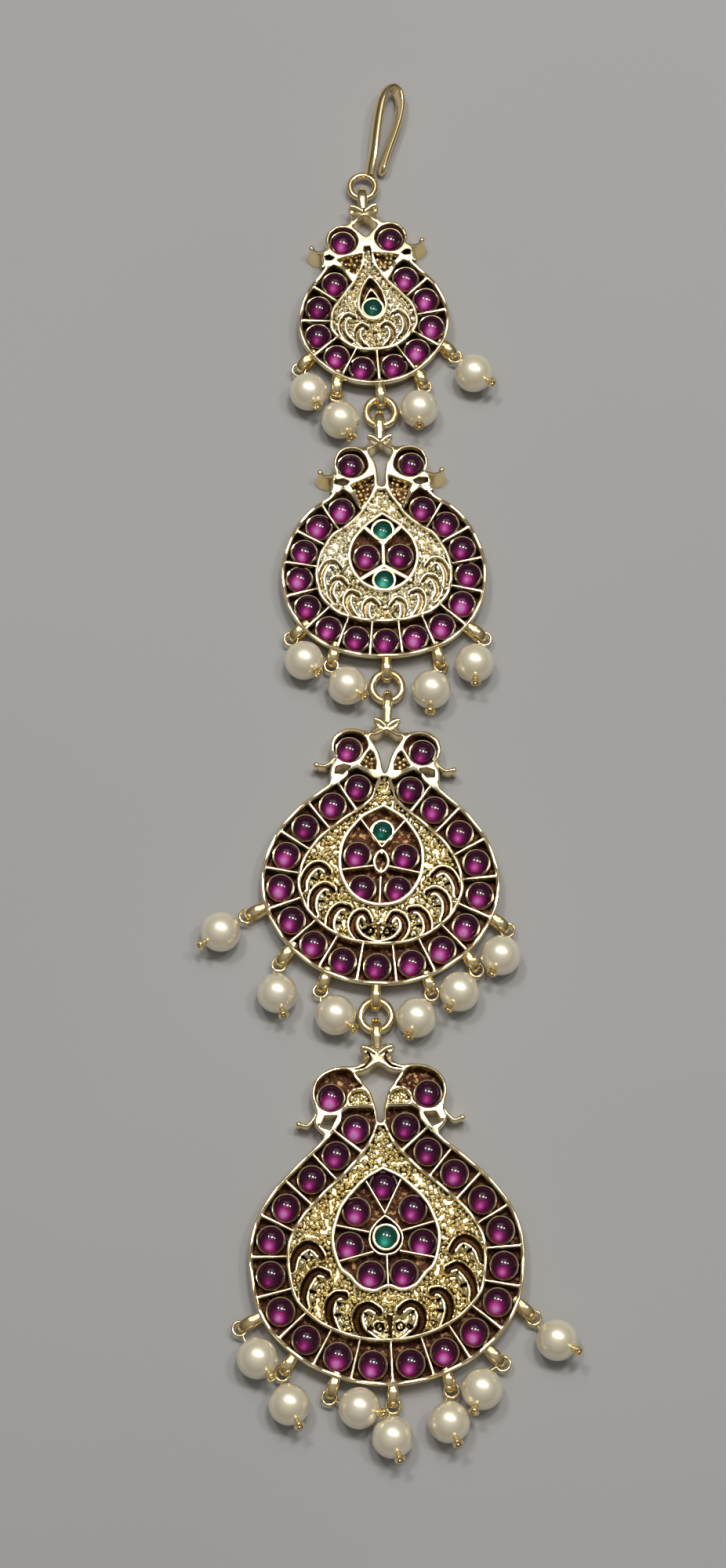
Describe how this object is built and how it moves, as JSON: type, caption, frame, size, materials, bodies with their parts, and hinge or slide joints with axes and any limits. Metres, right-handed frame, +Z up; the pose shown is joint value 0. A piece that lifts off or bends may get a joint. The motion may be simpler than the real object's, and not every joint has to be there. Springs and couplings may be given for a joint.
{
  "type": "head chain jewel",
  "caption": "Long head jewel: a hair hook and jump rings join drop-shaped cast gold plates, set with red and green cabochons in cells and hung with loose pearls.",
  "frame": {"origin": "centre of the part's box in plan, at the surface it lies on", "axes": "+Y runs along the chain towards the hair hook, +Z is up from the surface on the stone side, +X is to the right with the stones up"},
  "size_m": [0.0468, 0.1832, 0.005],
  "materials": {
    "gold": "polished cast gold",
    "pin_gold": "bright drawn wire",
    "ruby": "polished cabochon",
    "emerald": "polished cabochon",
    "pearl": "pearl lustre"
  },
  "bodies": {
    "root": {"hook": "gold", "link_ring_1": "gold", "link_ring_2": "gold", "link_ring_3": "gold", "plate_1": "gold", "plate_2": "gold", "plate_3": "gold", "plate_4": "gold", "rubies_1": "ruby", "rubies_2": "ruby", "rubies_3": "ruby", "rubies_4": "ruby", "emeralds_1": "emerald", "emeralds_2": "emerald", "emeralds_3": "emerald", "emeralds_4": "emerald", "pearl_1": "pearl", "pearl_2": "pearl", "pearl_3": "pearl", "pearl_4": "pearl", "pearl_5": "pearl", "pearl_6": "pearl", "pearl_7": "pearl", "pearl_8": "pearl", "pearl_9": "pearl", "pearl_10": "pearl", "pearl_11": "pearl", "pearl_12": "pearl", "pearl_13": "pearl", "pearl_14": "pearl", "pearl_15": "pearl", "pearl_16": "pearl", "pearl_17": "pearl", "pearl_18": "pearl", "pearl_19": "pearl", "pearl_20": "pearl", "pearl_21": "pearl", "head_pin_1": "pin_gold", "head_pin_2": "pin_gold", "head_pin_3": "pin_gold", "head_pin_4": "pin_gold", "head_pin_5": "pin_gold", "head_pin_6": "pin_gold", "head_pin_7": "pin_gold", "head_pin_8": "pin_gold", "head_pin_9": "pin_gold", "head_pin_10": "pin_gold", "head_pin_11": "pin_gold", "head_pin_12": "pin_gold", "head_pin_13": "pin_gold", "head_pin_14": "pin_gold", "head_pin_15": "pin_gold", "head_pin_16": "pin_gold", "head_pin_17": "pin_gold", "head_pin_18": "pin_gold", "head_pin_19": "pin_gold", "head_pin_20": "pin_gold", "head_pin_21": "pin_gold"}
  },
  "joints": []
}
